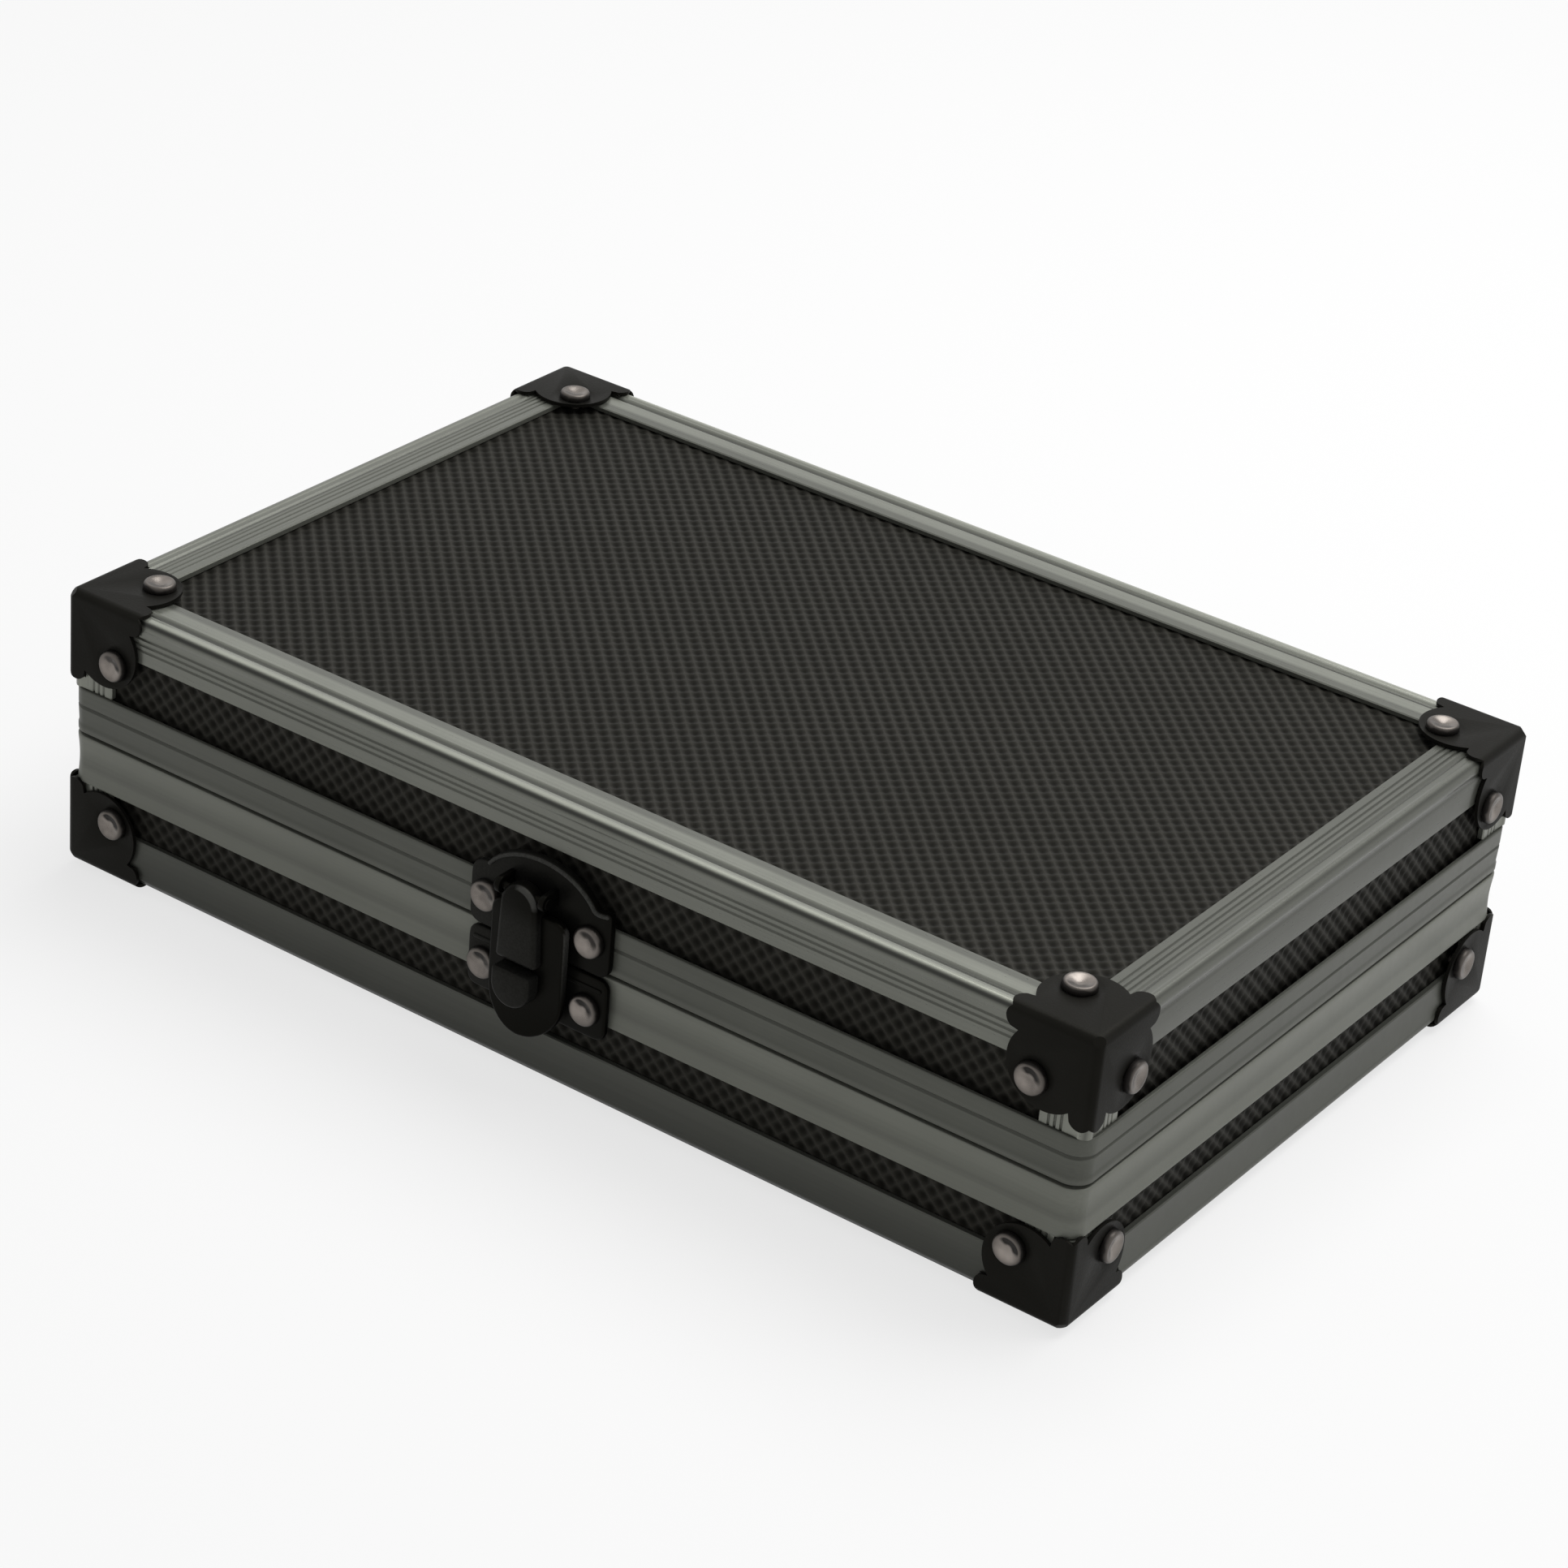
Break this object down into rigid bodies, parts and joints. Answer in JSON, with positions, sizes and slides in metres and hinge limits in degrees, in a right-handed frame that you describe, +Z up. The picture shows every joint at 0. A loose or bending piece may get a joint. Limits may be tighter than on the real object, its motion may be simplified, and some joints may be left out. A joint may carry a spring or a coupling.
{
  "type": "hard case",
  "caption": "Small rectangular hard case with embossed boards in aluminium edge profiles, black corner caps, a rear-hinged lid and a sprung front hasp.",
  "frame": {"origin": "centre of the bounding box's bottom, on the surface that the case stands on", "axes": "+X along the long side, +Y from the latch side to the hinge side, +Z up"},
  "size_m": [0.203, 0.1404, 0.0531],
  "materials": {
    "aluminium_profile": "satin anodised, fine lines along the length",
    "embossed_board": "black skin with a small raised diamond emboss",
    "black_cap": "satin black paint on stamped steel",
    "black_latch": "satin black paint on stamped and cast metal",
    "nickel_rivet": "nickel plate, slightly warm",
    "spring_steel": "bright steel",
    "foam_lining": "black closed-cell foam"
  },
  "bodies": {
    "base": {"base_bottom_panel": "embossed_board", "base_front_board": "embossed_board", "base_rail_front": "aluminium_profile", "base_back_board": "embossed_board", "base_rail_back": "aluminium_profile", "base_left_board": "embossed_board", "base_rail_left": "aluminium_profile", "base_right_board": "embossed_board", "base_rail_right": "aluminium_profile", "base_post_front_left": "aluminium_profile", "base_cap_front_left": "black_cap", "base_rivets_front_left": "nickel_rivet", "base_post_front_right": "aluminium_profile", "base_cap_front_right": "black_cap", "base_rivets_front_right": "nickel_rivet", "base_post_back_left": "aluminium_profile", "base_cap_back_left": "black_cap", "base_rivets_back_left": "nickel_rivet", "base_post_back_right": "aluminium_profile", "base_cap_back_right": "black_cap", "base_rivets_back_right": "nickel_rivet", "base_closing_band": "aluminium_profile", "base_foam_tray": "foam_lining", "latch_catch_plate": "black_latch", "latch_catch_rivets": "nickel_rivet", "hinge_base_leaf": "aluminium_profile", "hinge_base_rivets": "nickel_rivet", "hinge_pin": "spring_steel"},
    "lid": {"lid_top_panel": "embossed_board", "lid_front_board": "embossed_board", "lid_rail_front": "aluminium_profile", "lid_back_board": "embossed_board", "lid_rail_back": "aluminium_profile", "lid_left_board": "embossed_board", "lid_rail_left": "aluminium_profile", "lid_right_board": "embossed_board", "lid_rail_right": "aluminium_profile", "lid_post_front_left": "aluminium_profile", "lid_cap_front_left": "black_cap", "lid_rivets_front_left": "nickel_rivet", "lid_post_front_right": "aluminium_profile", "lid_cap_front_right": "black_cap", "lid_rivets_front_right": "nickel_rivet", "lid_post_back_left": "aluminium_profile", "lid_cap_back_left": "black_cap", "lid_rivets_back_left": "nickel_rivet", "lid_post_back_right": "aluminium_profile", "lid_cap_back_right": "black_cap", "lid_rivets_back_right": "nickel_rivet", "lid_closing_band": "aluminium_profile", "lid_foam_pad": "foam_lining", "latch_lid_plate": "black_latch", "latch_pin": "black_latch", "latch_spring": "spring_steel", "latch_lid_rivets": "nickel_rivet", "hinge_lid_leaf": "aluminium_profile", "hinge_lid_rivets": "nickel_rivet"},
    "hasp": {"latch_hasp": "black_latch"}
  },
  "joints": [
    {"name": "lid_hinge", "type": "hinge", "parent": "base", "child": "lid", "pos_m": [0, 0.06845, 0.02575], "axis": [-1, 0, 0], "range_deg": [0, 100]},
    {"name": "hasp_hinge", "type": "hinge", "parent": "lid", "child": "hasp", "pos_m": [0, -0.06775, 0.03655], "axis": [-1, 0, 0], "range_deg": [0, 115], "stiffness_Nm_per_rad": 0.004, "springref_deg": -20.05}
  ]
}
